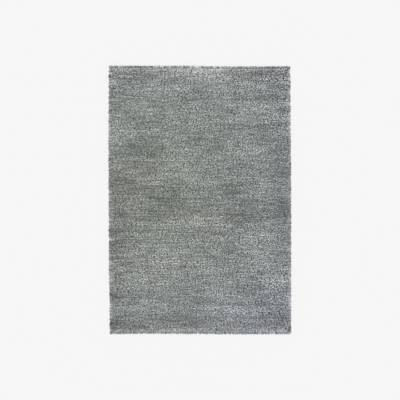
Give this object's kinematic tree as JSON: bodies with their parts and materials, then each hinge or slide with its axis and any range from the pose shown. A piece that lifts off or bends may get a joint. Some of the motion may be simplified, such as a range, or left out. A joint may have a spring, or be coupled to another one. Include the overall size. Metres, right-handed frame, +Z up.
{
  "type": "shag rug",
  "caption": "Rectangular high-pile shag rug lying flat: one woven piece with long leaning grey pile, a lumpy upper surface and loose locks round its rim.",
  "frame": {"origin": "under the middle of the rug, on the surface that it lies on", "axes": "+X across the rug, +Y along its long side, +Z up out of the pile"},
  "size_m": [1.3438, 1.9606, 0.0326],
  "materials": {
    "pile": "matt heathered grey yarn"
  },
  "bodies": {
    "root": {"shag_rug": "pile"}
  },
  "joints": []
}
